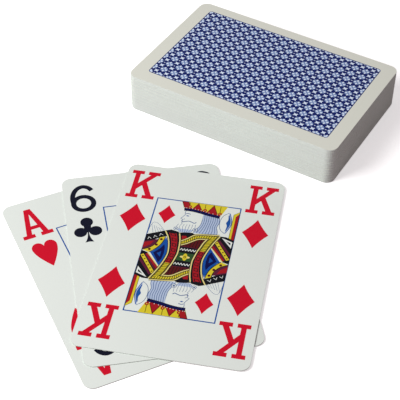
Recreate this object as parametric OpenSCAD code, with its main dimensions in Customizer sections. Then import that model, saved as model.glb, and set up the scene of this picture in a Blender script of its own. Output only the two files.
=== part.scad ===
// Playing card deck: a squared stack of cards lying face down, and three of its cards
// fanned face up in front of one long side. The origin is the middle of the stack's
// underside, with X along the stacked cards and Z up.

/* [Card] */
// Width of a card
card_w = 58; // [50:0.5:70]
// Length of a card
card_l = 88; // [80:0.5:110]
// Thickness of a card
card_t = 0.29; // [0.2:0.01:0.4]
// Radius of a card's corners
corner_r = 3.5; // [1:0.25:8]

/* [Stack] */
// Air between one card and the next
air_gap = 0.02; // [0.01:0.01:0.1]
// Most that a stacked card lies out of square along its length
stray_l = 0.08; // [0:0.01:1]
// Most that a stacked card lies out of square across its width
stray_w = 0.05; // [0:0.01:1]
// Most that a stacked card is turned out of square, in degrees
stray_turn = 0.04; // [0:0.01:0.5]

/* [Fan] */
// Room between the stack's long side and the sweep of the fanned cards
fan_gap = 6.57; // [4:0.01:40]
// Distance of the pinch point from the middle of the stack, along its length
pinch_x = 30.4; // [-40:0.1:60]
// Distance of the pinch point from the lower end of a fanned card
pinch_inset = 10; // [5:0.5:20]
// Turn of the ace, the lowest card of the fan, in degrees
ace_turn = 55.3; // [45:0.1:90]
// Turn of the six, the middle card of the fan, in degrees
six_turn = 40.5; // [30:0.1:60]
// Turn of the king, the top card of the fan, in degrees
king_turn = 20.2; // [0:0.1:40]
// How far the pinch point lies off the ace's own, across and along the card
ace_slip = [1.8, 0.4]; // [-3:0.1:3]
// How far the pinch point lies off the six's own, across and along the card
six_slip = [-2, -0.9]; // [-3:0.1:3]
// How far the pinch point lies off the king's own, across and along the card
king_slip = [0.5, 0]; // [-3:0.1:3]

/* [Hidden] */
$fn = 48;
paper_colour = [0.87, 0.89, 0.86];

SUITS = ["clubs", "diamonds", "hearts", "spades"];
RANKS = ["ace", "two", "three", "four", "five", "six", "seven", "eight", "nine", "ten",
         "jack", "queen", "king"];
JOKERS = ["red_joker", "black_joker"];
DECK = concat([for (suit = SUITS) for (rank = RANKS) str(rank, "_of_", suit)], JOKERS);

// The fan from its lowest card up, and the stack from its lowest card up
FAN = ["ace_of_hearts", "six_of_clubs", "king_of_diamonds"];
STACK = [for (name = DECK) if (!is_fanned(name)) name];

function is_fanned(name) = len([for (fanned = FAN) if (fanned == name) fanned]) > 0;

// Each card lies one pitch above the card below it
pitch = card_t + air_gap;

fan_turns = [ace_turn, six_turn, king_turn];
fan_slips = [ace_slip, six_slip, king_slip];

// The farthest corner of any fanned card sweeps this radius about the pinch point
function reach(slip) = norm([card_w / 2 + abs(slip.x), card_l - pinch_inset + abs(slip.y)]);
sweep_r = max([for (slip = fan_slips) reach(slip)]);
pinch = [pinch_x, -(card_w / 2 + stray_w + fan_gap + sweep_r)];

// The pinch point as each card holds it, from the middle of the card
function pinch_on_card(slip) = [slip.x, slip.y + pinch_inset - card_l / 2];

// Steps in degrees that spread the strays of neighbouring cards evenly, without repeating
length_step = 97;
width_step = 139;
turn_step = 143;

function stray(level) = [stray_l * sin(level * length_step), stray_w * sin(level * width_step)];

// One card, lying flat with its middle over the origin and its length along Y
module card() {
    color(paper_colour)
        linear_extrude(card_t) {
            square([card_w, card_l - 2 * corner_r], center = true);
            square([card_w - 2 * corner_r, card_l], center = true);
            for (side = [-1, 1], end = [-1, 1])
                translate([side * (card_w / 2 - corner_r), end * (card_l / 2 - corner_r)])
                    circle(corner_r);
        }
}

// A card of the stack, counted from the table up
module stacked_card(level) {
    translate([stray(level).x, stray(level).y, level * pitch])
        rotate(90 + stray_turn * sin(level * turn_step))
            card();
}

// A card of the fan, counted from the table up, turned about the pinch point
module fanned_card(level) {
    translate([pinch.x, pinch.y, level * pitch])
        rotate(fan_turns[level])
            translate(-pinch_on_card(fan_slips[level]))
                card();
}

for (level = [0 : len(STACK) - 1])
    stacked_card(level);

for (level = [0 : len(FAN) - 1])
    fanned_card(level);
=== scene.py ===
"""Playing card deck: printed cards, stage and camera, laid out as a Blender add-on.

Each CAD card gives way to a modelled one. A blank is cut once, with round corners and softened
rims, and its back is printed. Every card is a copy of that blank with its own front. A face is
cut along its print, so that each ink has faces of its own and the card stays one closed solid.
Prints are drawn in millimetres from the middle of the card, seen from the printed side.
"""

import math
from functools import partial

import bmesh
import bpy
from mathutils import Matrix, Vector
from mathutils.geometry import delaunay_2d_cdt


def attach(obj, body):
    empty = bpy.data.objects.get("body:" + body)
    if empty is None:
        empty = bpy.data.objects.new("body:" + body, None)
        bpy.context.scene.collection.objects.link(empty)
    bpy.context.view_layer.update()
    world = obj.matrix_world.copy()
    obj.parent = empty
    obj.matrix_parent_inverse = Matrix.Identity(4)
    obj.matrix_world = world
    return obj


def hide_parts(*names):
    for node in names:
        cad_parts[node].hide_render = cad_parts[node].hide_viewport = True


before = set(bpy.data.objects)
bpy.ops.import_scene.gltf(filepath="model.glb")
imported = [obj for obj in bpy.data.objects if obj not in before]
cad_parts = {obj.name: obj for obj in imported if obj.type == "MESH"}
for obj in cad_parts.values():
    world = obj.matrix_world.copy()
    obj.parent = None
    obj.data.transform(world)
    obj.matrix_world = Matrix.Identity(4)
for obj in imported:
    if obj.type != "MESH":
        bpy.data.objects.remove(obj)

bl_info = {
    "name": "Playing Card Deck",
    "version": (1, 0, 0),
    "blender": (4, 5, 0),
    "location": "View3D > Sidebar > Deck",
    "description": "Prints the cards of a deck and sets its stage",
    "category": "Object",
}

BLANK = "card_blank"
PRINT_MAP = "print"
MM = 0.001

SUITS = ("clubs", "diamonds", "hearts", "spades")
SUIT_INKS = {"clubs": "black", "diamonds": "red", "hearts": "red", "spades": "black"}
NUMBERS = ("ace", "two", "three", "four", "five", "six", "seven", "eight", "nine", "ten")
COURTS = ("jack", "queen", "king")
JOKER_INKS = {"red_joker": "red", "black_joker": "black"}

# How far the print lies off the middle of these cards, across and along in millimetres, and its
# turn in degrees
PRINT_LAYS = {
    "king_of_diamonds": (-0.1, 0.55, 0),
    "six_of_clubs": (0.3, 0.1, 0.9),
    "ace_of_hearts": (1.2, -0.35, 0),
}

# The cards of the fan lie face up, and all others face down on the lowest card of the stack
FACE_UP = ("ace_of_hearts", "six_of_clubs", "king_of_diamonds")
STACK_FOOT = "ace_of_clubs"

# The floor lies this far below the cards, so that their faces don't coincide
FLOOR_LEVEL = -0.00005
WHITE = (1, 1, 1, 1)

EDGE_TONES = ("edge", "edge_light", "edge_dark")
# The edge tone of the fan's cards is painted shade: the same stock made darker, so that their edges show
# as thin shadow lines
SHADED_FAN_EDGE = "edge_handled"
BARE_INKS = ("paper", "border")
CORNER_STEPS = 8
RIM_ANGLE = math.radians(60)
CUT_TOLERANCE = 1e-6
# A face looks up or down if this much of its normal does, and CAD places are read to this many digits
FACING, PLACE_DIGITS = 0.5, 6

# Surface of the stock. The weave is drawn on a map that spans this many millimetres
MAP_SPAN = 100
WEAVE_SCALE, WEAVE_WANDER = 75, 0.6
GLOSS_SCALE, GLOSS_DETAIL, FIBRE_SCALE = 40, 3, 4000
SHINE, BARE_ROUGH, INK_ROUGH, EDGE_ROUGH, ROUGH_SPREAD = 0.06, 0.5, 0.42, 0.8, 0.07
EMBOSS_STRENGTH, EMBOSS_DEPTH = 0.15, 0.00001


def setting(kind, name, description, default, **details):
    """A setting of one kind of property."""
    return kind(name=name, description=description, default=default, **details)


# Lengths and places are in metres, angles in radians, and colours are linear
number = partial(setting, bpy.props.FloatProperty)
angle = partial(number, unit="ROTATION")
length = partial(number, min=0.0, unit="LENGTH", subtype="DISTANCE", precision=5)
triple = partial(setting, bpy.props.FloatVectorProperty, size=3)
place = partial(triple, unit="LENGTH", subtype="TRANSLATION")
colour = partial(triple, min=0.0, max=1.0, subtype="COLOR")
count = partial(setting, bpy.props.IntProperty, min=1)


class DeckLayout(bpy.types.PropertyGroup):
    """Sizes of the print and of a card's edge."""

    corner: length("Corner radius", "Radius of a card's corners", 0.0035)
    rim: length("Rim", "Width of the softened edge around each face", 0.00003)
    index_side: length("Index from side", "Middle of an index from the long side", 0.00713)
    index_end: length("Index from end", "Middle of an index from the card's end", 0.0111)
    pip_gap: length("Pip gap", "Room between an index and the pip below it", 0.0030)
    index_scale: number("Index scale", "Size of the indices against the drawn ones", 1.04, min=0.1)
    pip_scale: number("Pip scale", "Size of the corner pips against the drawn ones", 1.05, min=0.1)
    frame_w: length("Frame width", "Width of the thin frame", 0.0307)
    frame_l: length("Frame length", "Length of the thin frame", 0.0546)
    frame_line: length("Frame line", "Width of the frame's line", 0.00045)
    panel_side: length("Back border, side", "Bare border along the sides of the back", 0.0051)
    panel_end: length("Back border, end", "Bare border at the ends of the back", 0.0056)
    panel_off: length("Panel off centre", "How far the back panel lies to one side", 0.0007)
    panel_corner: length("Panel corner", "Radius of the back panel's corners", 0.0012)
    panel_line: length("Panel line", "Width of the line around the back panel", 0.0003)
    columns: count("Columns", "Cells of the back's lattice across", 12)
    rows: count("Rows", "Cells of the back's lattice along", 17)


class DeckInks(bpy.types.PropertyGroup):
    """Colours of the stock and of the inks on it."""

    paper: colour("Paper", "Coated front of the card", (0.742, 0.805, 0.755))
    border: colour("Border", "Bare border of the back", (0.735, 0.77, 0.68))
    edge: colour("Edge", "Cut edge of a card", (0.65, 0.72, 0.675))
    edge_light: colour("Light edge", "Cut edge of a paler card", (0.66, 0.73, 0.685))
    edge_dark: colour("Dark edge", "Cut edge of a greyer card", (0.635, 0.705, 0.66))
    # Painted shade: the fan cards' cut edges are darker than the stack's, so that their lit rims stay
    # dim and their edges show as thin shadow lines
    edge_handled: colour("Shaded fan edge", "Cut edge of a card in the fan", (0.52, 0.555, 0.52))
    red: colour("Red", "Indices and pips of the red suits", (0.585, 0.006, 0.024))
    black: colour("Black", "Indices and pips of the black suits", (0.003, 0.004, 0.014))
    line: colour("Frame blue", "Thin frame, and blue marks of the figures", (0.012, 0.085, 0.33))
    night: colour("Night", "Black of the dress", (0.003, 0.003, 0.006))
    gold: colour("Gold", "Yellow of the dress", (0.66, 0.56, 0.03))
    cream: colour("Cream", "Piping of the dress", (0.74, 0.66, 0.25))
    olive: colour("Olive", "Shade of the braid", (0.10, 0.085, 0.008))
    scarlet: colour("Scarlet", "Red of the dress", (0.34, 0.010, 0.016))
    wine: colour("Wine", "Dark red of the dress", (0.085, 0.006, 0.007))
    plum: colour("Plum", "Purple of the dress", (0.10, 0.012, 0.035))
    leaf: colour("Leaf", "Green of the dress", (0.025, 0.075, 0.022))
    royal: colour("Royal", "Blue of the dress", (0.008, 0.075, 0.34))
    navy: colour("Navy", "Dark blue of the dress", (0.002, 0.003, 0.06))
    sky: colour("Sky", "Tint of hair, beard, plume and blade", (0.43, 0.53, 0.69))
    steel: colour("Steel", "Fine lines of hair, hands and faces", (0.09, 0.15, 0.30))
    back_dark: colour("Back, dark", "Ground of the back panel", (0.003, 0.011, 0.12))
    back_mid: colour("Back, middle", "Patches of the back's lattice", (0.18, 0.27, 0.50))
    back_light: colour("Back, light", "Pale marks of the back's lattice", (0.72, 0.85, 1.0))


class DeckStage(bpy.types.PropertyGroup):
    """Camera, light and floor."""

    eye: place("Camera place", "Where the camera stands", (0.15935, -0.31949, 0.28502))
    tilt: angle("Camera tilt", "Turn up from straight down", math.radians(46.508))
    bearing: angle("Camera bearing", "Turn about the vertical", math.radians(30.39))
    roll: angle("Camera roll", "Turn about the line of sight", math.radians(0.603))
    lens: number("Lens", "Focal length in millimetres", 103.5, min=1.0)
    key_place: place("Key place", "Where the key light stands", (-0.33, -0.46, 0.45))
    key_size: length("Key size", "Side of the key light", 0.36)
    key_power: number("Key power", "Strength of the key light in watts", 5.0, min=0.0)
    sky_light: number("Sky", "Strength of the even light from all round", 0.28, min=0.0)
    sky_colour: colour("Sky colour", "Colour of the even light", (1.0, 0.84, 0.88))
    floor_colour: colour("Floor", "Colour of the light that the floor throws back", (0.52, 0.42, 0.45))
    floor_seen: colour("Floor, seen", "Colour of the floor in the picture", (0.95, 0.95, 0.95))
    floor_glow: number("Floor glow", "Whiteness that the floor adds in the picture", 0.5, min=0.0)
    floor_size: length("Floor size", "Side of the floor", 6.0)


# Outlines


def box(left, right, low, high):
    """A rectangle."""
    return [(left, low), (right, low), (right, high), (left, high)]


def arc(x, y, wide, high, start, stop, steps):
    """Points on an ellipse's arc, from one angle to the other in degrees."""
    turns = [math.radians(start + (stop - start) * k / steps) for k in range(steps + 1)]
    return [(x + wide * math.cos(t), y + high * math.sin(t)) for t in turns]


def disc(x, y, wide, high, steps=16):
    """A filled ellipse."""
    return arc(x, y, wide, high, 0, 360, steps)[:-1]


def round_box(wide, long, radius, steps=5):
    """A rectangle about the middle with round corners."""
    x, y = wide / 2 - radius, long / 2 - radius
    middles = ((x, y, 0), (-x, y, 90), (-x, -y, 180), (x, -y, 270))
    return [p for cx, cy, a in middles for p in arc(cx, cy, radius, radius, a, a + 90, steps)]


def star(x, y, outer, inner, points=5, turn=90):
    """A star with its first point at the turn given, in degrees."""
    tips = []
    for k in range(2 * points):
        t = math.radians(turn + 180 * k / points)
        r = inner if k % 2 else outer
        tips.append((x + r * math.cos(t), y + r * math.sin(t)))
    return tips


def smooth(points, steps=3):
    """A curve through the points."""
    ends = [points[0], *points, points[-1]]
    path = []
    for a, b, c, d in zip(ends, ends[1:], ends[2:], ends[3:]):
        for k in range(steps):
            t = k / steps
            weights = (
                -t + 2 * t * t - t**3,
                2 - 5 * t * t + 3 * t**3,
                t + 4 * t * t - 3 * t**3,
                -t * t + t**3,
            )
            path.append(tuple(
                sum(w * p[i] for w, p in zip(weights, (a, b, c, d))) / 2 for i in (0, 1)
            ))
    return [*path, points[-1]]


def offset(path, by):
    """The path moved to its left by a distance."""
    moved = []
    for k, (x, y) in enumerate(path):
        before, after = path[max(k - 1, 0)], path[min(k + 1, len(path) - 1)]
        way = Vector((after[0] - before[0], after[1] - before[1])).normalized()
        moved.append((x - by * way.y, y + by * way.x))
    return moved


def band(path, width):
    """A stroke of even width along a path."""
    return offset(path, -width / 2) + offset(path, width / 2)[::-1]


def between(path_a, path_b, share):
    """The path that lies a share of the way from one path to another with as many points."""
    return [
        (a[0] + (b[0] - a[0]) * share, a[1] + (b[1] - a[1]) * share)
        for a, b in zip(path_a, path_b)
    ]


def along(path, share):
    """The point at a share of a path's length."""
    spans = [math.dist(a, b) for a, b in zip(path, path[1:])]
    rest = share * sum(spans)
    for a, b, span in zip(path, path[1:], spans):
        if rest <= span:
            return (a[0] + (b[0] - a[0]) * rest / span, a[1] + (b[1] - a[1]) * rest / span)
        rest -= span
    return path[-1]


def mirrored(points):
    """Points turned over about the upright axis, in reverse order."""
    return [(-x, y) for x, y in reversed(points)]


def fitted(shapes, x=0, y=0, wide=1, high=1):
    """Shapes stretched across and along, and moved."""
    return [(ink, [(x + wide * px, y + high * py) for px, py in points]) for ink, points in shapes]


def placed(shapes, x=0, y=0, scale=1, upside_down=False):
    """Shapes scaled, turned over end for end if asked, and moved."""
    stretch = -scale if upside_down else scale
    return fitted(shapes, x, y, stretch, stretch)


def turned(shapes, degrees):
    """Shapes turned about the middle of the card."""
    c, s = math.cos(math.radians(degrees)), math.sin(math.radians(degrees))
    return [(ink, [(c * x - s * y, s * x + c * y) for x, y in points]) for ink, points in shapes]


def both_ways(shapes):
    """Each shape with its copy turned by half a turn, in the order of printing."""
    return [copy for shape in shapes for copy in (shape, *placed([shape], upside_down=True))]


# Pips and indices


def heart():
    """The right half of the outline, and its mirror image."""
    lobe = arc(2.1, 3.3, 2.15, 2.5, 166, -12, 10)
    side = smooth([lobe[-1], (3.75, 0.9), (2.85, -1.2), (1.6, -3.5), (0, -6)])[1:]
    half = lobe + side
    return [half[:-1] + mirrored(half[1:])]


def diamond():
    """Four sides, each bent slightly inwards."""
    quarter = smooth([(0, 6.75), (0.95, 4.95), (2.1, 3.1), (3.3, 1.4), (4.45, 0)], 2)
    half = quarter + [(x, -y) for x, y in reversed(quarter[:-1])]
    return [half[:-1] + mirrored(half[1:])]


def stem(top, base):
    """The flared foot of a club or spade."""
    side = smooth([(0.15, top), (0.35, base + 2.9), (0.8, base + 1.3), (1.45, base)])
    return mirrored(side) + side[:-1] + [(1.45, base), (0, base + 0.25)]


def club():
    """Three lobes, a core and a foot."""
    lobes = [disc(0, 3.65, 2.15, 2.2), disc(-2.5, -0.85, 2.2, 2.2), disc(2.5, -0.85, 2.2, 2.2)]
    core = [(-1.3, 2.2), (-0.9, -1.2), (0.9, -1.2), (1.3, 2.2)]
    return [*lobes, core, stem(-0.6, -5.8)]


def spade():
    """A heart upside down, and a foot."""
    leaf = [(0.95 * x, 0.8 - 0.82 * y) for x, y in heart()[0]]
    return [leaf, stem(-0.8, -5.8)]


PIPS = {"clubs": club, "diamonds": diamond, "hearts": heart, "spades": spade}


# Widths of the strokes of an index, and where the serifs at its head begin and end
STROKE, RING_SIDE, RING_STEPS = 1.75, 1.8, (28, 24)
SERIF = (5.25, 6.9)


def stroke(points, steps=4):
    """A stroke of the figures' width along a curve."""
    return band(smooth(points, steps), STROKE)


def ring(x, y, wide, high):
    """An ellipse in ink and its open middle."""
    outer, inner = RING_STEPS
    return [("ink", disc(x, y, wide, high, outer)),
            ("paper", disc(x, y, wide - RING_SIDE, high - STROKE, inner))]


def inked(*outlines):
    """Outlines in the suit's ink."""
    return [("ink", outline) for outline in outlines]


def slabs(end, *spans):
    """Serifs over the given stretches, at the head of a letter, end 1, or at its foot, end -1."""
    low, high = sorted(end * level for level in SERIF)
    return inked(*(box(left, right, low, high) for left, right in spans))


def index_ace():
    """An A with serifs at its feet."""
    left = [(-1.15, 6.95), (-3.85, -5.4), (-1.95, -5.4), (0.05, 4.8), (0.35, 6.95)]
    letter = inked(left, mirrored(left), box(-2.2, 2.2, -2.95, -1.35))
    return letter + slabs(-1, (-5.2, -1.05), (1.05, 5.2))


def index_six():
    """A round 6 with an open head."""
    tail = stroke([(3.45, 3.6), (2.25, 5.2), (0.4, 5.9), (-1.45, 5.1), (-2.75, 3.3), (-3.4, 1.1),
                   (-3.45, -1.2), (-3.2, -3)])
    return inked(tail) + ring(0.05, -2.5, 4.35, 4.25)


def index_ten():
    """A narrow 1 and 0."""
    one = inked(box(-4.5, -2.8, -6.8, 6.8), [(-2.8, 6.8), (-4.6, 6.8), (-5.2, 4.3), (-3.6, 5)])
    return one + ring(1.75, 0, 3.3, 6.8)


def index_jack():
    """A J with a serif at its head."""
    hook = stroke(arc(-1.1, -3.4, 2.4, 2.6, 0, -165, 10), 2)
    return inked(box(0.4, 2.2, -3.4, 6), hook) + slabs(1, (-1.5, 4.1))


def index_queen():
    """A round Q with a straight tail."""
    return ring(0, 0.2, 4.6, 6.7) + inked([(0.1, -3.6), (1.5, -2.4), (4.9, -6.1), (3.4, -7.2)])


def index_king():
    """A K with four serifs."""
    arm = [(-2, 0.4), (-2, -2.6), (4.05, 5.4), (1.85, 5.4)]
    leg = [(0.95, 1.4), (-0.35, -0.4), (1.85, -5.4), (3.95, -5.4)]
    serifs = [slab for end in (-1, 1) for slab in slabs(end, (-5, -0.75), (0.75, 5))]
    return inked(box(-3.75, -2, -6, 6), arm, leg) + serifs


INDICES = {
    "ace": index_ace,
    "two": lambda: inked(
        stroke([(-3.3, 2.9), (-2.5, 5.1), (0, 5.95), (2.6, 5.1), (3.2, 2.8), (1.7, 0), (-3, -5.6)]),
        box(-4.2, 4.2, -6.8, -5.05),
    ),
    "three": lambda: inked(
        stroke(arc(-0.2, 3.1, 2.85, 2.8, 155, -90, 10), 2),
        stroke(arc(-0.2, -2.6, 3.5, 3.3, 90, -155, 10), 2),
    ),
    "four": lambda: inked(
        box(0.9, 2.65, -6.8, 6.8), box(-4.3, 4.3, -3.4, -1.7),
        [(1.2, 6.8), (-4.3, -2), (-2.2, -2), (1.2, 3.4)],
    ),
    "five": lambda: inked(
        box(-3, 3.6, 5.05, 6.8), [(-3, 6), (-3.4, -0.2), (-1.7, -0.2), (-1.3, 6)],
        stroke(arc(-0.1, -2.4, 3.5, 3.5, 135, -150, 12), 2),
    ),
    "six": index_six,
    "seven": lambda: inked(
        box(-4.1, 4.1, 5.05, 6.8), [(2.1, 5.4), (-2.9, -6.8), (-0.9, -6.8), (4.1, 5.4)]
    ),
    "eight": lambda: ring(0, 3.25, 3.6, 3.5) + ring(0, -2.75, 4.2, 4),
    "nine": lambda: placed(index_six(), upside_down=True),
    "ten": index_ten,
    "jack": index_jack,
    "queen": index_queen,
    "king": index_king,
}

# Rows of a number card's pips in its outer columns and in its middle one, as shares of the frame's
# half length
TWO_ROWS, THREE_ROWS, FOUR_ROWS = (0.72, -0.72), (0.72, 0, -0.72), (0.75, 0.25, -0.25, -0.75)
PIP_ROW_SHARES = {
    "two": ((), TWO_ROWS),
    "three": ((), THREE_ROWS),
    "four": (TWO_ROWS, ()),
    "five": (TWO_ROWS, (0,)),
    "six": (THREE_ROWS, ()),
    "seven": (THREE_ROWS, (0.36,)),
    "eight": (THREE_ROWS, (0.36, -0.36)),
    "nine": (FOUR_ROWS, (0,)),
    "ten": (FOUR_ROWS, (0.5, -0.5)),
}
PIP_COLUMN_SHARE = 0.58
NUMBER_PIP_SCALE, ACE_PIP_SCALE, COURT_PIP_SCALE = 0.62, 1.9, 0.69


def pip(suit, ink, **where):
    """A suit's pip."""
    return placed([(ink, outline) for outline in PIPS[suit]()], **where)


def thin_frame(layout):
    """The frame's line, as a filled rectangle and its bare middle."""
    x, y, line = layout.frame_w / MM / 2, layout.frame_l / MM / 2, layout.frame_line / MM
    return [("line", box(-x, x, -y, y)), ("paper", box(line - x, x - line, line - y, y - line))]


def corners(index, mark, size, layout):
    """An index and a mark in each corner, those of the lower half upside down, and the frame."""
    x, y = size.x / 2 - layout.index_side / MM, size.y / 2 - layout.index_end / MM
    foot = min(py for _, points in index for _, py in points)
    head = max(py for _, points in mark for _, py in points)
    pair = index + placed(mark, y=foot - layout.pip_gap / MM - head)
    return both_ways(placed(pair, -x, y) + placed(pair, x, y)) + thin_frame(layout)


def suited_corners(rank, suit, size, layout):
    """The corners and the frame of a card with a rank and a suit."""
    ink = SUIT_INKS[suit]
    index = [(ink if kind == "ink" else kind, points) for kind, points in INDICES[rank]()]
    index = placed(index, scale=layout.index_scale)
    return corners(index, pip(suit, ink, scale=layout.pip_scale), size, layout)


def number_front(rank, suit, size, layout):
    """The front of an ace or of a number card."""
    ink = SUIT_INKS[suit]
    shapes = suited_corners(rank, suit, size, layout)
    if rank == "ace":
        return shapes + pip(suit, ink, scale=ACE_PIP_SCALE)
    x, y = layout.frame_w / MM / 2 * PIP_COLUMN_SHARE, layout.frame_l / MM / 2
    outer, middle = PIP_ROW_SHARES[rank]
    for column, rows in ((-1, outer), (0, middle), (1, outer)):
        for row in rows:
            where = {"x": x * column, "y": y * row, "upside_down": row < 0}
            shapes += pip(suit, ink, scale=NUMBER_PIP_SCALE, **where)
    return shapes


def joker_front(ink, size, layout):
    """A star in the frame and in each corner."""
    index = [(ink, star(0, 0, 4.6, 1.9))]
    mark = [("gold", disc(0, 0, 1.6, 1.6))]
    layers = ((ink, 13, 5.4), ("paper", 9.6, 4), ("gold", 8.4, 3.5))
    big = [(tone, star(0, 0, outer, inner)) for tone, outer, inner in layers]
    big += [(tone, disc(0, 0, radius, radius)) for tone, radius in (("paper", 2.2), ("line", 1.5))]
    return corners(index, mark, size, layout) + big


# The court figure. It is drawn for the upper half, and both_ways adds the lower one.

SCHEMES = {
    "diamonds": {"band": "scarlet", "deep": "wine", "panel": "royal", "dark": "navy"},
    "hearts": {"band": "royal", "deep": "navy", "panel": "scarlet", "dark": "wine"},
    "clubs": {"band": "royal", "deep": "navy", "panel": "leaf", "dark": "night"},
    "spades": {"band": "leaf", "deep": "night", "panel": "royal", "dark": "navy"},
}
MIRRORED_SUITS = ("hearts", "clubs")
COURT_PIP, HEAD_MIDDLE = (-10.05, 19.45), -1
COURT_FRAME = Vector((30, 54.75))
ONE_EYED = (("king", "diamonds"), ("jack", "hearts"), ("jack", "spades"))

# The two edges of the long band down the dress, and of the braided collar, from above
BAND_OUTER = smooth([(-8.9, 11.3), (-7.4, 8.5), (-6.5, 5.3), (-6, 1.5), (-6.2, -1), (-6.8, -3.6),
                     (-7.4, -5.7), (-8.6, -9), (-9.9, -11.9)])
BAND_INNER = smooth([(-3.9, 10.9), (-3.2, 8), (-2.85, 4.8), (-2.75, 1.5), (-3.1, -0.9),
                     (-3.7, -3.8), (-4.3, -5.7), (-4.85, -7.7), (-5.7, -9.5)])
# The long band has blocks up to this point of its edges, and a ribbed braid from there
BAND_SPLIT, BAND_BLOCKS, BAND_RIBS, COLLAR_RIBS = 15, 6, 9, 16
PIPING, CORD = 0.85, 0.42
HEM_STUDS, PETALS, FIRST_PETAL = 6, 5, 17.2
FINE_LINE = 0.2
COLLAR_UPPER = smooth([(-2.7, 7.4), (-0.8, 8.9), (0.7, 10.5), (2, 11.3), (5, 11.9), (9.7, 12.4)])
COLLAR_LOWER = smooth([(-2.5, 5.4), (-0.6, 6.5), (1.2, 8), (2.6, 9.1), (4.4, 9.6), (8.6, 9.7)])


def strip(edge_a, edge_b, start, stop):
    """What lies between two shares of the way across a band."""
    return between(edge_a, edge_b, start) + between(edge_a, edge_b, stop)[::-1]


def inset(share, step=0, steps=1):
    """Two shares, each as far from its own end of one step of several."""
    return (step + share) / steps, (step + 1 - share) / steps


def block(edge_a, edge_b, across, lengthways):
    """A block of a band, between two shares across it and two along it."""
    line_a, line_b = (between(edge_a, edge_b, share) for share in across)
    first, last = lengthways
    return [along(line_a, first), along(line_a, last), along(line_b, last), along(line_b, first)]


def zigzag(start, stop, height, turns, width):
    """The strokes of a zigzag line, one outline each."""
    step = Vector(((stop[0] - start[0]) / turns, (stop[1] - start[1]) / turns))
    up = Vector((-step.y, step.x)).normalized() * height
    points = [Vector(start) + step * k + (up if k % 2 else -up) for k in range(turns + 1)]
    return [band([tuple(a), tuple(b)], width) for a, b in zip(points, points[1:])]


def piping(edge):
    """A cream cord with dark sides along an edge of the dress."""
    return [("night", band(edge, PIPING)), ("cream", band(edge, CORD))]


def braid(edge_a, edge_b, ribs):
    """A ribbed golden braid between two corded edges."""
    shapes = [("olive", strip(edge_a, edge_b, 0, 1)), ("gold", strip(edge_a, edge_b, *inset(0.26)))]
    for k in range(ribs):
        shapes.append(("olive", block(edge_a, edge_b, inset(0.22), inset(0.3, k, ribs))))
    return shapes + piping(edge_a) + piping(edge_b)


def waistcoat(scheme):
    """The middle of the dress, from the collar to the flower at the heart of the card."""
    shapes = [(scheme["deep"], [(-3.2, 4.4), (-2.6, 5.4), (1.9, 9), (5.8, 9.8), (4.6, 4.4)])]
    for k in range(6):
        x = -1.6 + 1.05 * k
        shapes.append(("night", band([(x, 4.9), (x + 0.45, 6.2 + 0.6 * k)], FINE_LINE)))
    shapes += [("night", box(-3.3, 4.2, 1.9, 4.9)), ("plum", box(-2.6, 3.9, 4.72, 4.95))]
    shapes += [("paper", s) for s in zigzag((-2.3, 3.45), (3.1, 3.45), 0.5, 11, 0.24)]
    shapes += [("leaf", box(-3.2, 3.2, -1.9, 1.9)), ("cream", disc(0, 0, 1.75, 0.62, 12)),
               ("gold", disc(0, 0, 0.78, 1.75, 12)), ("olive", disc(0, 0, 0.45, 0.62, 10)),
               ("gold", disc(0, 0, 0.22, 0.3, 8))]
    return shapes


def long_band(scheme):
    """The band down one side of the dress: blocks above, braid below."""
    upper = BAND_OUTER[: BAND_SPLIT + 1], BAND_INNER[: BAND_SPLIT + 1]
    lower = BAND_OUTER[BAND_SPLIT:], BAND_INNER[BAND_SPLIT:]
    shapes = [("night", strip(BAND_OUTER, BAND_INNER, 0, 1)),
              (scheme["band"], strip(*upper, *inset(0.22)))]
    for k in range(BAND_BLOCKS):
        shapes.append(("night", block(*upper, inset(0.3), inset(0.2, k, BAND_BLOCKS))))
        shapes.append((scheme["band"], block(*upper, inset(0.37), inset(0.3, k, BAND_BLOCKS))))
    shapes.append(("night", [(-9, 11.4), (-8.4, 10.5), (-4, 10.7), (-4.3, 11.6), (-7, 12.2)]))
    return shapes + braid(*lower, BAND_RIBS) + piping(BAND_OUTER) + piping(BAND_INNER)


def side_panel(scheme):
    """The pointed panel beside the band, set in three steps."""
    rim = smooth([(-7.9, 8.2), (-6.75, 5.2), (-6.3, 1.5), (-6.5, -1), (-7.05, -3.4), (-7.75, -5.7)], 2)
    sleeve = smooth([(-11.9, 0.1), (-10, 2.5), (-8.75, 5.4), (-7.9, 8.2)], 2)[:-1]
    return [
        (scheme["panel"], rim + sleeve),
        (scheme["dark"], [(-7.9, 4.7), (-8.9, 2.6), (-10.8, 0.1), (-8.3, -4.1), (-7.5, -2.2),
                          (-7.25, 0.5), (-7.4, 3)]),
        (scheme["panel"], [(-8.25, 1.3), (-9.6, 0.05), (-8.25, -1.4)]),
    ]


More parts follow.
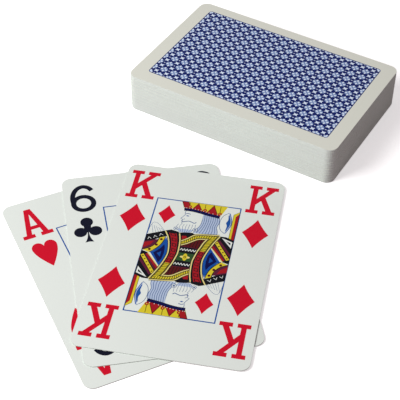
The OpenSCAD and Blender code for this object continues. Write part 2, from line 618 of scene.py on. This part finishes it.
def sleeves(scheme):
    """Cuff, stud band and stripes between the side panel and the frame."""
    stud_outer = smooth([(-10.2, 7.6), (-10.7, 4.9), (-12.3, 2.5), (-14.8, 0.9)])
    stud_inner = smooth([(-8.2, 8.5), (-8.7, 5.6), (-9.9, 2.9), (-12.2, 0)])
    shapes = [
        ("plum", [(-14.9, 5.1), (-14.9, 1), (-12.3, 2.4), (-10.6, 4.9), (-10.4, 6.8)]),
        (scheme["band"], [(-14.85, 4.5), (-14.85, 1.9), (-12.6, 3.7), (-11.7, 5.7)]),
        ("night", [(-14.9, 8.4), (-14.9, 5), (-11.6, 6.3), (-10.2, 7.5), (-8, 8.7), (-9.1, 11.3)]),
    ]
    for x, y in ((-13.6, 6.5), (-11.8, 7.6), (-10, 8.9)):
        shapes += [("paper", s) for s in zigzag((x - 0.55, y), (x + 0.55, y + 0.55), 0.5, 2, 0.17)]
    shapes += [("gold", strip(stud_outer, stud_inner, 0, 1))]
    shapes += [("night", band(stud_outer, 0.3)), ("night", band(stud_inner, 0.3))]
    shapes += [("wine", disc(x, y, 0.5, 0.55, 10)) for x, y in ((-9.4, 6.9), (-10.5, 4), (-12.4, 1.5))]
    studs = [(-14.3, -1.3), (-9, -9.2)]
    shapes += [
        ("night", [(-14.9, 0.6), (-12.4, -0.1), (-7.5, -6.2), (-9.9, -12.1), (-12, -12.1),
                   (-14.9, -10.9)]),
        (scheme["band"], band([(-12.9, -0.7), (-8, -7)], 0.75)),
        ("plum", band([(-13.3, -1.1), (-8.4, -7.8)], 0.5)),
        ("cream", band([(-12.6, -0.1), (-7.7, -6.2)], 0.4)),
        ("gold", band(studs, 1.15)),
        ("plum", band([(-14.75, -3.2), (-9.8, -10)], 0.85)),
        ("paper", [(-14.4, -7), (-14.5, -10), (-10.6, -11.5)]),
        ("night", [(-13.95, -8.4), (-13.95, -9.5), (-12.2, -10.3)]),
    ]
    for k in range(HEM_STUDS):
        middle = along(studs, (k + 0.5) / HEM_STUDS)
        shapes.append(("wine", star(*middle, 0.42, 0.3, 2, 45)))
    return shapes


def hand():
    """An open hand above the cuff, in fine lines."""
    palm = smooth([(-14.7, 8.5), (-14.5, 11.8), (-13.9, 14.2), (-13, 14.8), (-11.8, 14.2),
                   (-10.5, 12.8), (-9.3, 11.3)])
    shapes = [("paper", palm), ("steel", band(palm, 0.14))]
    for k in range(5):
        x = -13.6 + 0.85 * k
        shapes.append(("steel", band([(x - 0.5, 13.6 - 0.35 * k), (x + 0.75, 9.6 + 0.35 * k)], 0.12)))
    return shapes


def strands(edge_a, edge_b, locks, ground, width):
    """Locks of hair between two edges."""
    shapes = [(ground, strip(edge_a, edge_b, 0, 1))]
    for k in range(locks + 1):
        shapes.append(("steel", band(between(edge_a, edge_b, k / locks), width)))
    return shapes


def curl(x, y, size):
    """The curled end of a lock."""
    rings = (("steel", size, 12), ("paper", size - 0.22, 12), ("steel", size - 0.5, 8))
    return [(ink, disc(x, y, radius, radius, steps)) for ink, radius, steps in rings]


def face():
    """A calm, plain face."""
    cheeks = smooth([(-3.9, 22.7), (-4.3, 20.2), (-4.1, 17.6), (-3.2, 15.6), (-1, 14.5), (1.1, 15.4),
                     (2.1, 17.4), (2.5, 20), (2.3, 22.4)])
    shapes = [("paper", cheeks), ("steel", band(cheeks, 0.18))]
    for x in (-2.5, 0.6):
        brow = smooth([(x - 0.95, 20.75), (x, 21.15), (x + 0.95, 20.75)])
        shapes += [("steel", band(brow, 0.26)), ("line", disc(x, 19.9, 0.62, 0.3, 10)),
                   ("night", disc(x, 19.9, 0.24, 0.26, 8))]
    shapes += [("steel", band([(-0.95, 20), (-1.25, 18.4), (-0.65, 18.15)], FINE_LINE)),
               ("scarlet", band([(-1.7, 16.6), (-0.9, 16.45), (-0.1, 16.6)], 0.3))]
    return shapes


def side_face():
    """A calm, plain face in profile, a third each for brow, nose and chin."""
    outline = smooth([(-3.7, 23), (-3.95, 21.6), (-3.75, 20.5), (-4.5, 19.1), (-4.9, 18.3), (-4.2, 17.9),
                      (-4.25, 17.2), (-4, 16.8), (-4.2, 16.2), (-3.9, 15.5), (-4.1, 14.6), (-3.2, 13.8),
                      (-1.2, 14.2), (1.2, 15.6), (2.4, 18), (2.4, 22.4)])
    return [("paper", outline), ("steel", band(outline[:-9], FINE_LINE)),
            ("steel", band(smooth([(-3.6, 20.9), (-2.9, 21.25), (-1.9, 21)]), 0.3)),
            ("line", [(-3.5, 20), (-2.8, 20.3), (-2.1, 20), (-2.8, 19.75)]),
            ("steel", band(smooth([(-4.1, 18), (-3.7, 18.1), (-3.6, 18.5)]), 0.16)),
            ("scarlet", band([(-4.1, 16.85), (-3.2, 16.95)], 0.24))]


def beard(middle):
    """A full beard with a shaded end and curled corners, and a moustache turned up at its ends."""
    left = smooth([(-3.2, 15.4), (-3.7, 14.2), (-3, 12.7), (-2.1, 11.6)])
    right = smooth([(2.6, 16.2), (2.6, 14.6), (2, 12.8), (1.1, 11.7)])
    shapes = strands(left, right, 6, "paper", 0.14)
    shapes.insert(1, ("sky", left[5:] + right[:4:-1]))
    for side in (-1, 1):
        wing = smooth([(0, 17.5), (side * 1.1, 17.15), (side * 2, 16.75), (side * 2.6, 17.35)])
        shapes.append(("steel", band(wing, 0.34)))
    return placed(shapes, middle) + curl(-5.6, 13.1, 0.85) + curl(1, 13.6, 0.95)


def long_hair():
    """Wavy hair down to the shoulder, on the right of the head."""
    inner = smooth([(2.2, 22.3), (2.5, 19.5), (2.4, 16.5), (1.4, 14), (0.6, 12)])
    outer = smooth([(8.1, 21.2), (8.5, 18.6), (8, 16.2), (8.6, 14), (8.6, 12.5)])
    return strands(inner, outer, 8, "sky", 0.22)


def crown():
    """A wide golden crown with red darts, on a dark blue brow band."""
    brow = smooth([(-4.6, 23.15), (-1.9, 23.15), (1.1, 22.7), (4, 22.05), (8.2, 21.4)])
    shapes = [("gold", [(-6.1, 27.2), *brow, (10.2, 27.2)])]
    for dart in ([(-6.1, 27.2), (-4.6, 23.4), (-2.6, 24.9), (-3.6, 27.2)],
                 [(-0.1, 27.2), (-2.2, 23.4), (2, 22.9)], [(5.4, 27.2), (3.1, 22.5), (7.6, 21.8)]):
        middle = tuple(sum(places) / len(dart) for places in zip(*dart))
        shapes += [("wine", dart), ("scarlet", between(dart, [middle] * len(dart), 0.2))]
    for x, y in ((-2.9, 24.9), (2.6, 24), (8, 23.1)):
        shapes += [("olive", band([(x - 0.1, y), (x - 0.2, 26.9)], 0.22)),
                   ("scarlet", disc(x, y, 0.7, 0.7, 10)), ("gold", disc(x, y, 0.25, 0.25, 6))]
    hem = offset(brow, 0.85)
    shapes.append(("scarlet", band(hem, 0.6)))
    shapes += [("paper", disc(x, y, 0.2, 0.2, 4)) for x, y in hem]
    return shapes + [("night", band(brow, 1.4)), ("navy", band(brow, 0.9))]


def small_crown():
    """A queen's coronet over a plain hair band."""
    brow = smooth([(-4.7, 22.6), (-0.9, 23.4), (3, 22.6)], 4)
    peaks = [(3.9, 26.2), (2, 24.6), (0.9, 27), (-0.9, 24.8), (-2.7, 27), (-3.8, 24.6), (-5.6, 26.2)]
    return [("gold", brow + peaks), ("scarlet", disc(-0.9, 24.3, 0.5, 0.5, 10)),
            ("night", band(brow, 0.8))]


def cap():
    """A jack's flat cap with a feather."""
    brow = smooth([(-4.8, 22.6), (-0.9, 23.2), (3.6, 22.6)], 4)
    plume = smooth([(3.4, 23), (6.5, 25.5), (9.6, 25.2)], 4)
    return [("scarlet", brow + [(4.6, 24.6), (2, 26), (-3.6, 26), (-5.8, 24.6)]),
            ("gold", band(brow, 0.9)), ("steel", band(plume, 0.9)), ("sky", band(plume, 0.4))]


def axe():
    """A broad axe on a striped staff, along the right of the frame."""
    edge = smooth([(11.3, 24.3), (9.5, 22.6), (8.7, 20), (8.8, 17), (9.7, 14.9), (11.3, 13.6)])
    cheek = smooth([(11.5, 24.2), (12.2, 22.2), (12.75, 20), (12.75, 18), (12.1, 15.8), (11.4, 13.8)])
    back = smooth([(11.1, 15.4), (11.3, 17.6), (10.8, 19), (11.3, 20.6), (11.1, 22.6)])
    return [
        ("paper", edge + cheek[::-1]),
        ("steel", band(edge, FINE_LINE)),
        ("line", cheek + back),
        ("sky", band(offset(cheek, -0.4), 0.22)),
        ("gold", [(12.8, 10.9), (13.7, 10.9), (13.7, 22.9), (14.85, 24.6), (14.85, 25.4), (12.8, 23.7)]),
        ("scarlet", [(13.65, 10.6), (14.85, 10.6), (14.85, 24.6), (13.65, 22.8)]),
        ("night", band([(14.75, 10.6), (14.75, 25)], FINE_LINE)),
        ("olive", band([(12.85, 10.9), (12.85, 23.7), (14.8, 25.3)], 0.16)),
    ]


def collar(scheme):
    """What shows of the dress under the beard."""
    return [("night", [(-4.2, 11.2), (-3.2, 7.6), (-0.4, 9), (1.6, 11.3), (0.3, 12), (-2.4, 11.7)]),
            (scheme["band"], [(-2.9, 9.9), (-2.6, 8.1), (-0.9, 9.4), (-1.5, 10.1)])]


def flower():
    """A flower held above the cuff."""
    x, y = -11.6, 16.6
    petals = arc(x, y, 0.85, 0.85, FIRST_PETAL, FIRST_PETAL + 360, PETALS)[:-1]
    return [("leaf", band([(-12, 13.5), (x, 16)], 0.3)),
            *(("scarlet", disc(*petal, 0.7, 0.7, 10)) for petal in petals),
            ("gold", disc(x, y, 0.5, 0.5, 10))]


def court_figure(rank, suit):
    """Half of a king, queen or jack, in the order of printing."""
    scheme = SCHEMES[suit]
    hair = long_hair()
    if rank == "queen":
        hair += fitted(hair, x=2 * HEAD_MIDDLE, wide=-1)
    turned_away = (rank, suit) in ONE_EYED
    head = hair + (side_face() if turned_away else face())
    if rank == "king":
        head += beard(-1.9 if turned_away else -0.9)
    hats = {"king": crown, "queen": small_crown, "jack": cap}
    held = flower() if rank == "queen" else axe()
    dress = collar(scheme) + waistcoat(scheme) + braid(COLLAR_UPPER, COLLAR_LOWER, COLLAR_RIBS)
    dress += side_panel(scheme) + sleeves(scheme) + long_band(scheme)
    return head + hats[rank]() + held + hand() + dress


def court_front(rank, suit, size, layout):
    """The front of a king, queen or jack."""
    mark = pip(suit, SUIT_INKS[suit], x=COURT_PIP[0], y=COURT_PIP[1], scale=COURT_PIP_SCALE)
    fit_x, fit_y = layout.frame_w / MM / COURT_FRAME.x, layout.frame_l / MM / COURT_FRAME.y
    if suit in MIRRORED_SUITS:
        fit_x = -fit_x
    drawing = fitted(both_ways(mark + court_figure(rank, suit)), wide=fit_x, high=fit_y)
    return suited_corners(rank, suit, size, layout) + drawing


# The back. Its marks are shares of a cell, across and along.

# A dim patch lies on each corner where cells meet: its outline in one cell, from that corner
PATCH_SHARES = ((0, 0), (0.36, 0), (0.26, 0.25), (0, 0.35))
# The pale hub of a cell is a cross on the diagonals: reach of its arms and of its notches
HUB_SHARES = (0.28, 0.12)
# Dashes between the rows, and spots and bars between the columns: places off the middle of a
# cell's side, and radius across and along
DASH_SHARES = ((-0.25, 0.25), 0.15, 0.085)
SPOT_SHARES = ((-0.3, 0.3), 0.11, 0.12)
BAR_SHARES = ((0,), 0.045, 0.09)
MARK_CORNERS = 6


def lattice_cell(x, y, wide, long):
    """One cell: a quarter of a dim patch in each corner, and the hub between them."""
    shapes = []
    for side in (-1, 1):
        for end in (-1, 1):
            patch = [(side * (0.5 - px), end * (0.5 - py)) for px, py in PATCH_SHARES]
            shapes.append(("back_mid", patch))
    shapes.append(("back_light", star(0, 0, *HUB_SHARES, 4, 45)))
    return fitted(shapes, x, y, wide, long)


def seam(middles, pitch, radius):
    """Places of the marks between cells along one way, the outermost just inside the panel."""
    last = middles[-1] + pitch / 2 - radius
    return [-last] + [middle + pitch / 2 for middle in middles[:-1]] + [last]


def lattice_seams(columns, rows, wide, long):
    """The pale marks between the cells."""
    offs, across, high = DASH_SHARES
    marks = [(x + off * wide, y, across, high)
             for y in seam(rows, long, high * long) for x in columns for off in offs]
    for offs, across, high in (SPOT_SHARES, BAR_SHARES):
        marks += [(x, y + off * long, across, high)
                  for x in seam(columns, wide, across * wide) for y in rows for off in offs]
    return [("back_light", disc(x, y, across * wide, high * long, MARK_CORNERS))
            for x, y, across, high in marks]


def back_print(size, layout):
    """A lined panel filled with the lattice, inside a bare border."""
    wide, long = size.x - 2 * layout.panel_side / MM, size.y - 2 * layout.panel_end / MM
    line = layout.panel_line / MM
    cell_w, cell_l = (wide - 2 * line) / layout.columns, (long - 2 * line) / layout.rows
    columns = [(column + 0.5 - layout.columns / 2) * cell_w for column in range(layout.columns)]
    rows = [(row + 0.5 - layout.rows / 2) * cell_l for row in range(layout.rows)]
    shapes = [("back_dark", round_box(wide, long, layout.panel_corner / MM))]
    for x in columns:
        for y in rows:
            shapes += lattice_cell(x, y, cell_w, cell_l)
    shapes += lattice_seams(columns, rows, cell_w, cell_l)
    return placed(shapes, x=layout.panel_off / MM)


# From print to mesh


def set_inputs(tree, node, values):
    """Sets a node's inputs, each to a value or by a link from another node's socket."""
    for name, value in values.items():
        if isinstance(value, bpy.types.NodeSocket):
            tree.links.new(value, node.inputs[name])
        else:
            node.inputs[name].default_value = value


def new_node(tree, kind, values, **settings):
    """A new shader node with its settings and inputs."""
    node = tree.nodes.new(f"ShaderNode{kind}")
    for name, value in settings.items():
        setattr(node, name, value)
    set_inputs(tree, node, values)
    return node


def set_surface(tree, rough, gloss, height):
    """Sets the roughness by one pattern, spread about a value, and the bump by another."""
    ends = {"To Min": rough - ROUGH_SPREAD, "To Max": rough + ROUGH_SPREAD}
    spread = new_node(tree, "MapRange", {"Value": gloss, **ends})
    relief = {"Height": height, "Strength": EMBOSS_STRENGTH, "Distance": EMBOSS_DEPTH}
    bump = new_node(tree, "Bump", relief)
    set_inputs(tree, tree.nodes["Principled BSDF"], {
        "Roughness": spread.outputs["Result"], "Normal": bump.outputs["Normal"],
    })


def coat_nodes(tree, rough):
    """Roughness and bump of coated stock: an uneven gloss and a fine woven emboss."""
    where = new_node(tree, "UVMap", {}, uv_map=PRINT_MAP).outputs["UV"]
    cloud = {"Vector": where, "Scale": GLOSS_SCALE, "Detail": GLOSS_DETAIL}
    weave = {"Vector": where, "Scale": WEAVE_SCALE, "Distortion": WEAVE_WANDER}
    gloss = new_node(tree, "TexNoise", cloud)
    threads = [new_node(tree, "TexWave", weave, bands_direction=way).outputs["Fac"] for way in "XY"]
    over = new_node(tree, "Math", dict(enumerate(threads)), operation="MAXIMUM")
    set_surface(tree, rough, gloss.outputs["Fac"], over.outputs["Value"])


def edge_nodes(tree):
    """Roughness and bump of cut board: a fine grain of fibres."""
    where = new_node(tree, "TexCoord", {}).outputs["Object"]
    grain = {"Vector": where, "Scale": FIBRE_SCALE, "Detail": GLOSS_DETAIL}
    fibre = new_node(tree, "TexNoise", grain).outputs["Fac"]
    set_surface(tree, EDGE_ROUGH, fibre, fibre)


def ink_material(ink):
    """The material of an ink, of bare stock or of a cut edge, made the first time it is asked for."""
    name = f"card_{ink}"
    material = bpy.data.materials.get(name)
    if material is None:
        material = bpy.data.materials.new(name)
        material.use_nodes = True
        tree = material.node_tree
        tone = getattr(bpy.context.scene.deck_inks, ink)
        set_inputs(tree, tree.nodes["Principled BSDF"], {
            "Base Color": (*tone, 1), "Specular IOR Level": SHINE,
        })
        if ink in EDGE_TONES or ink == SHADED_FAN_EDGE:
            edge_nodes(tree)
        else:
            coat_nodes(tree, BARE_ROUGH if ink in BARE_INKS else INK_ROUGH)
    return material


def ink_slot(mesh, ink):
    """The number of an ink's slot on a mesh, added if it has none."""
    material = ink_material(ink)
    slot = mesh.materials.find(material.name)
    if slot < 0:
        mesh.materials.append(material)
        slot = len(mesh.materials) - 1
    return slot


def signed_area(points):
    """Twice the area inside an outline, below zero if it runs clockwise."""
    return sum(a[0] * b[1] - b[0] * a[1] for a, b in zip(points, points[1:] + points[:1]))


def cut_print(layers):
    """Cuts the first layer along the others, later ones on top: points, triangles and inks."""
    points, faces = [], []
    for _, outline in layers:
        faces.append(list(range(len(points), len(points) + len(outline))))
        points += outline if signed_area(outline) > 0 else outline[::-1]
    cut = delaunay_2d_cdt([Vector(p) for p in points], [], faces, 1, CUT_TOLERANCE, True)
    spots, _, triangles, origins, _, owners = cut
    return spots, origins, triangles, [layers[max(owner)][0] for owner in owners]


def print_side(mesh, side, ground, shapes):
    """Prints the front, side 1, or the back, side -1, of a card that is bare there."""
    bm = bmesh.new()
    bm.from_mesh(mesh)
    weave = bm.loops.layers.uv[PRINT_MAP]
    bare = max((f for f in bm.faces if f.normal.z * side > FACING), key=lambda f: f.calc_area())
    rim, level = list(bare.verts), bare.verts[0].co.z
    outline = [(side * v.co.x / MM, v.co.y / MM) for v in rim]
    spots, origins, triangles, inks = cut_print([(ground, outline), *shapes])
    bm.faces.remove(bare)
    verts = []
    for spot, origin in zip(spots, origins):
        kept = [i for i in origin if i < len(rim)]
        verts.append(rim[kept[0]] if kept else bm.verts.new((side * spot.x * MM, spot.y * MM, level)))
    slots = {ink: ink_slot(mesh, ink) for ink in sorted(set(inks))}
    for triangle, ink in zip(triangles, inks):
        part = bm.faces.new([verts[i] for i in triangle])
        part.material_index = slots[ink]
        for loop, i in zip(part.loops, triangle):
            loop[weave].uv = spots[i] / MAP_SPAN
    bm.to_mesh(mesh)
    bm.free()


def card_place(node):
    """A CAD card's size, and the matrix that lays a card drawn about the origin in its place."""
    points = [v.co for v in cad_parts[node].data.vertices]
    outline = sorted({(round(p.x, PLACE_DIGITS), round(p.y, PLACE_DIGITS)) for p in points})
    x = sum(p[0] for p in outline) / len(outline)
    y = sum(p[1] for p in outline) / len(outline)
    # The card's length lies where its outline spreads most, and its upper end to the back and left
    spread = sum((p[0] - x) ** 2 - (p[1] - y) ** 2 for p in outline)
    skew = sum((p[0] - x) * (p[1] - y) for p in outline)
    turn = math.atan2(2 * skew, spread) / 2
    up = Vector((math.cos(turn), math.sin(turn), 0))
    if up.y < up.x:
        up.negate()
    across = Vector((up.y, -up.x, 0))
    low, high = min(p.z for p in points), max(p.z for p in points)
    spans = [[axis.dot(p) for p in points] for axis in (across, up)]
    size = Vector((*(max(s) - min(s) for s in spans), high - low))
    face_up = node in FACE_UP
    if not face_up:
        across.negate()
    upright = Vector((0, 0, 1 if face_up else -1))
    lay = Matrix((across, up, upright)).transposed().to_4x4()
    lay.translation = (x, y, low if face_up else high)
    return size, lay


def tone_of(node):
    """The edge tone of a card: a darker one for the fan, which is painted shade, and in the stack one by
    the letters of its name, so that no order shows.
    """
    # The fan's cards get the darker edge, as painted shade
    if node in FACE_UP:
        return SHADED_FAN_EDGE
    return EDGE_TONES[sum(map(ord, node)) % len(EDGE_TONES)]


def build_card(node, shapes):
    """A finished card in the place of its CAD node."""
    blank = bpy.data.meshes.get(BLANK)
    if blank is None:
        raise RuntimeError("cut the blank first")
    _, lay = card_place(node)
    mesh = blank.copy()
    mesh.name = f"card_{node}"
    mesh.materials[0] = ink_material(tone_of(node))
    x, y, turn = PRINT_LAYS.get(node, (0, 0, 0))
    print_side(mesh, 1, "paper", placed(turned(shapes, turn), x, y))
    mesh.transform(lay)
    card = bpy.data.objects.new(mesh.name, mesh)
    bpy.context.scene.collection.objects.link(card)
    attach(card, node)
    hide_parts(node)


def card_size():
    """The size of a card in millimetres, from the CAD card that lies lowest in the stack."""
    size, _ = card_place(STACK_FOOT)
    return size / MM


def build_suits(ranks, front, layout):
    """The cards of the ranks given in all four suits, each with its own front."""
    size = card_size()
    for suit in SUITS:
        for rank in ranks:
            build_card(f"{rank}_of_{suit}", front(rank, suit, size, layout))


def select_nothing():
    """Deselects all, because an operator acts on all that is selected."""
    bpy.ops.object.select_all(action="DESELECT")


class DECK_OT_cut_blank(bpy.types.Operator):
    """Cut the blank that every card is a copy of, and print its back"""

    bl_idname = "deck.cut_blank"
    bl_label = "Cut Blank"

    def execute(self, context):
        layout = context.scene.deck_layout
        size = card_size() * MM
        select_nothing()
        bpy.ops.mesh.primitive_plane_add(size=1.0)
        blank = context.object
        bpy.ops.object.mode_set(mode="EDIT")
        bpy.ops.mesh.select_all(action="SELECT")
        bpy.ops.transform.resize(value=(size.x, size.y, 1.0))
        bpy.ops.mesh.bevel(offset=layout.corner, segments=CORNER_STEPS, affect="VERTICES")
        bpy.ops.mesh.extrude_region_move(TRANSFORM_OT_translate={"value": (0, 0, size.z)})
        bpy.ops.mesh.select_all(action="SELECT")
        bpy.ops.mesh.normals_make_consistent(inside=False)
        bpy.ops.mesh.select_mode(type="EDGE")
        bpy.ops.mesh.select_all(action="DESELECT")
        bpy.ops.mesh.edges_select_sharp(sharpness=RIM_ANGLE)
        bpy.ops.mesh.bevel(offset=layout.rim, segments=1, affect="EDGES")
        bpy.ops.object.mode_set(mode="OBJECT")
        mesh = blank.data
        mesh.name = BLANK
        mesh.use_fake_user = True
        while mesh.uv_layers:
            mesh.uv_layers.remove(mesh.uv_layers[0])
        mesh.uv_layers.new(name=PRINT_MAP)
        ink_slot(mesh, EDGE_TONES[0])
        print_side(mesh, -1, "border", back_print(size / MM, layout))
        bpy.data.objects.remove(blank)
        return {"FINISHED"}


class DECK_OT_number_cards(bpy.types.Operator):
    """Print the aces and the number cards"""

    bl_idname = "deck.number_cards"
    bl_label = "Number Cards"

    def execute(self, context):
        build_suits(NUMBERS, number_front, context.scene.deck_layout)
        return {"FINISHED"}


class DECK_OT_court_cards(bpy.types.Operator):
    """Print the kings, queens and jacks"""

    bl_idname = "deck.court_cards"
    bl_label = "Court Cards"

    def execute(self, context):
        build_suits(COURTS, court_front, context.scene.deck_layout)
        return {"FINISHED"}


class DECK_OT_jokers(bpy.types.Operator):
    """Print the two jokers"""

    bl_idname = "deck.jokers"
    bl_label = "Jokers"

    def execute(self, context):
        size = card_size()
        for node, ink in JOKER_INKS.items():
            build_card(node, joker_front(ink, size, context.scene.deck_layout))
        return {"FINISHED"}


# Stage


def key_light(stage):
    """A square light aimed at the middle of the deck."""
    select_nothing()
    bpy.ops.object.light_add(type="AREA", location=stage.key_place)
    lamp = bpy.context.object
    lamp.name = "key"
    lamp.data.size = stage.key_size
    lamp.data.energy = stage.key_power
    lamp.rotation_euler = Vector(stage.key_place).to_track_quat("Z", "Y").to_euler()


def seen_rays(tree):
    """A socket that is 1 for what the camera sees, directly, mirrored or through glass, and else 0."""
    path = new_node(tree, "LightPath", {}).outputs
    total = path["Is Camera Ray"]
    for kind in ("Is Glossy Ray", "Is Transmission Ray"):
        plus = new_node(tree, "Math", {0: total, 1: path[kind]}, operation="ADD", use_clamp=True)
        total = plus.outputs["Value"]
    return total


def white_world(stage):
    """A world of even light from all round, which the camera itself sees as white."""
    world = bpy.data.worlds.new("studio")
    world.use_nodes = True
    tree = world.node_tree
    light = tree.nodes["Background"]
    set_inputs(tree, light, {"Color": (*stage.sky_colour, 1), "Strength": stage.sky_light})
    white = new_node(tree, "Background", {"Color": WHITE})
    ends = {1: light.outputs["Background"], 2: white.outputs["Background"]}
    choice = new_node(tree, "MixShader", {"Fac": seen_rays(tree), **ends})
    set_inputs(tree, tree.nodes["World Output"], {"Surface": choice.outputs["Shader"]})
    return world


def floor_material(stage):
    """A matt pale floor that the picture shows as white, with the shadows kept."""
    material = bpy.data.materials.new("floor")
    material.use_nodes = True
    tree = material.node_tree
    seen = seen_rays(tree)
    tones = {"A": (*stage.floor_colour, 1), "B": (*stage.floor_seen, 1)}
    tone = new_node(tree, "Mix", {"Factor": seen, **tones}, data_type="RGBA")
    glow = new_node(tree, "Math", {0: seen, 1: stage.floor_glow}, operation="MULTIPLY")
    set_inputs(tree, tree.nodes["Principled BSDF"], {
        "Base Color": tone.outputs["Result"], "Roughness": 1, "Specular IOR Level": 0,
        "Emission Color": WHITE, "Emission Strength": glow.outputs["Value"],
    })
    return material


def camera_of(stage):
    """The camera, turned as the photograph was taken."""
    select_nothing()
    bpy.ops.object.camera_add(location=stage.eye)
    camera = bpy.context.object
    turn = Matrix.Rotation(stage.bearing, 4, "Z") @ Matrix.Rotation(stage.tilt, 4, "X")
    turn = turn @ Matrix.Rotation(stage.roll, 4, "Z")
    camera.matrix_world = Matrix.Translation(stage.eye) @ turn
    camera.data.lens = stage.lens
    return camera


class DECK_OT_stage(bpy.types.Operator):
    """Lay the floor and set the light and the camera"""

    bl_idname = "deck.stage"
    bl_label = "Stage"

    def execute(self, context):
        scene = context.scene
        stage = scene.deck_stage
        select_nothing()
        bpy.ops.mesh.primitive_plane_add(size=stage.floor_size, location=(0, 0, FLOOR_LEVEL))
        floor = context.object
        floor.name = "floor"
        floor.data.materials.append(floor_material(stage))
        key_light(stage)
        scene.world = white_world(stage)
        scene.camera = camera_of(stage)
        scene.view_settings.view_transform = "Standard"
        return {"FINISHED"}


class DECK_PT_sidebar(bpy.types.Panel):
    """Settings and steps of the deck"""

    bl_label = "Playing Card Deck"
    bl_idname = "DECK_PT_sidebar"
    bl_space_type = "VIEW_3D"
    bl_region_type = "UI"
    bl_category = "Deck"

    def draw(self, context):
        for step in STEPS:
            self.layout.operator(step.bl_idname)
        for group, settings in GROUPS.items():
            column = self.layout.column(heading=group.__name__)
            for name in group.__annotations__:
                column.prop(getattr(context.scene, settings), name)


GROUPS = {DeckLayout: "deck_layout", DeckInks: "deck_inks", DeckStage: "deck_stage"}
STEPS = (DECK_OT_cut_blank, DECK_OT_number_cards, DECK_OT_court_cards, DECK_OT_jokers, DECK_OT_stage)


def register():
    for group, name in GROUPS.items():
        bpy.utils.register_class(group)
        setattr(bpy.types.Scene, name, bpy.props.PointerProperty(type=group))
    for item in (*STEPS, DECK_PT_sidebar):
        bpy.utils.register_class(item)


def unregister():
    for item in (DECK_PT_sidebar, *reversed(STEPS)):
        bpy.utils.unregister_class(item)
    for group, name in GROUPS.items():
        delattr(bpy.types.Scene, name)
        bpy.utils.unregister_class(group)


def main():
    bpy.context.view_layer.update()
    register()
    bpy.ops.deck.cut_blank()
    bpy.ops.deck.number_cards()
    bpy.ops.deck.court_cards()
    bpy.ops.deck.jokers()
    bpy.ops.deck.stage()


if __name__ == "__main__":
    main()
